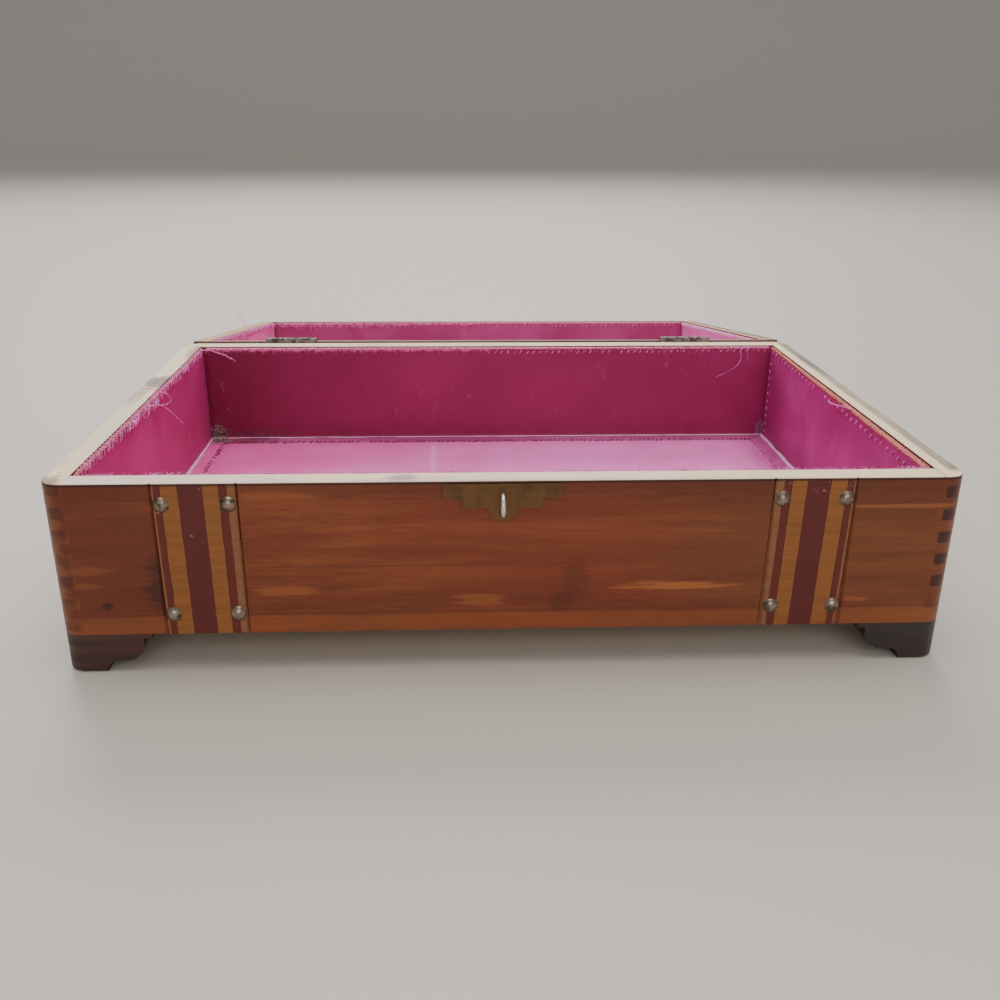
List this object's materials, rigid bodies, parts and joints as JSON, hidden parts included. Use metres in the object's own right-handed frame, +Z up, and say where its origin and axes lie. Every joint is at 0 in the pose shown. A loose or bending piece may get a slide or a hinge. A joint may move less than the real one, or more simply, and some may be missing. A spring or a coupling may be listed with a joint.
{
  "type": "ditty box",
  "caption": "Shallow wooden keepsake box on bracket feet, open at its hinged lid, with a padded cloth lining, painted bands, domed tacks and a hasp.",
  "frame": {"origin": "on the floor, under the middle of the space that the box and its open lid take up", "axes": "+X to the right along the front, +Y from the front towards the open lid, +Z up"},
  "size_m": [0.305, 0.4178, 0.0712],
  "materials": {
    "walnut_stain": "satin varnished cedar, stained brown",
    "bare_wood": "bare pale wood",
    "brown_foot": "dark brown stain",
    "black_foot": "near black stain",
    "pink_satin": "magenta satin over card",
    "tack_nickel": "dull domed nickel",
    "dull_steel": "dull",
    "bright_wire": "bright wire",
    "hasp_bronze": "dull dark bronze",
    "hinge_steel": "dull grey"
  },
  "bodies": {
    "case": {"front_wall": "walnut_stain", "back_wall": "walnut_stain", "left_wall": "walnut_stain", "right_wall": "walnut_stain", "base_panel": "bare_wood", "front_left_foot": "brown_foot", "back_left_foot": "brown_foot", "front_right_foot": "black_foot", "back_right_foot": "black_foot", "foot_brads": "dull_steel", "band_tacks": "tack_nickel", "strike_plate": "hasp_bronze", "staple": "bright_wire", "floor_lining": "pink_satin", "front_lining": "pink_satin", "back_lining": "pink_satin", "left_lining": "pink_satin", "right_lining": "pink_satin", "left_hinge_case_leaf": "hinge_steel", "right_hinge_case_leaf": "hinge_steel", "left_hinge_pin": "dull_steel", "right_hinge_pin": "dull_steel", "case_hinge_screws": "dull_steel"},
    "lid": {"lid_panel": "walnut_stain", "lid_front_rail": "walnut_stain", "lid_back_rail": "walnut_stain", "lid_left_rail": "walnut_stain", "lid_right_rail": "walnut_stain", "lid_panel_lining": "pink_satin", "lid_front_lining": "pink_satin", "lid_back_lining": "pink_satin", "lid_left_lining": "pink_satin", "lid_right_lining": "pink_satin", "left_hinge_lid_leaf": "hinge_steel", "right_hinge_lid_leaf": "hinge_steel", "lid_hinge_screws": "dull_steel", "lid_tacks": "tack_nickel", "hasp_plate": "hasp_bronze", "hasp_pin": "dull_steel", "hasp_nails": "hasp_bronze"},
    "tongue": {"hasp_tongue": "hasp_bronze"}
  },
  "joints": [
    {"name": "lid_hinge", "type": "hinge", "parent": "case", "child": "lid", "pos_m": [0, 0.00301, 0.06915], "axis": [1, 0, 0], "range_deg": [0, 188.6]},
    {"name": "tongue_hinge", "type": "hinge", "parent": "lid", "child": "tongue", "pos_m": [-0.003, 0.20732, 0.03628], "axis": [1, 0, 0], "range_deg": [-8.6, 171.4]}
  ]
}
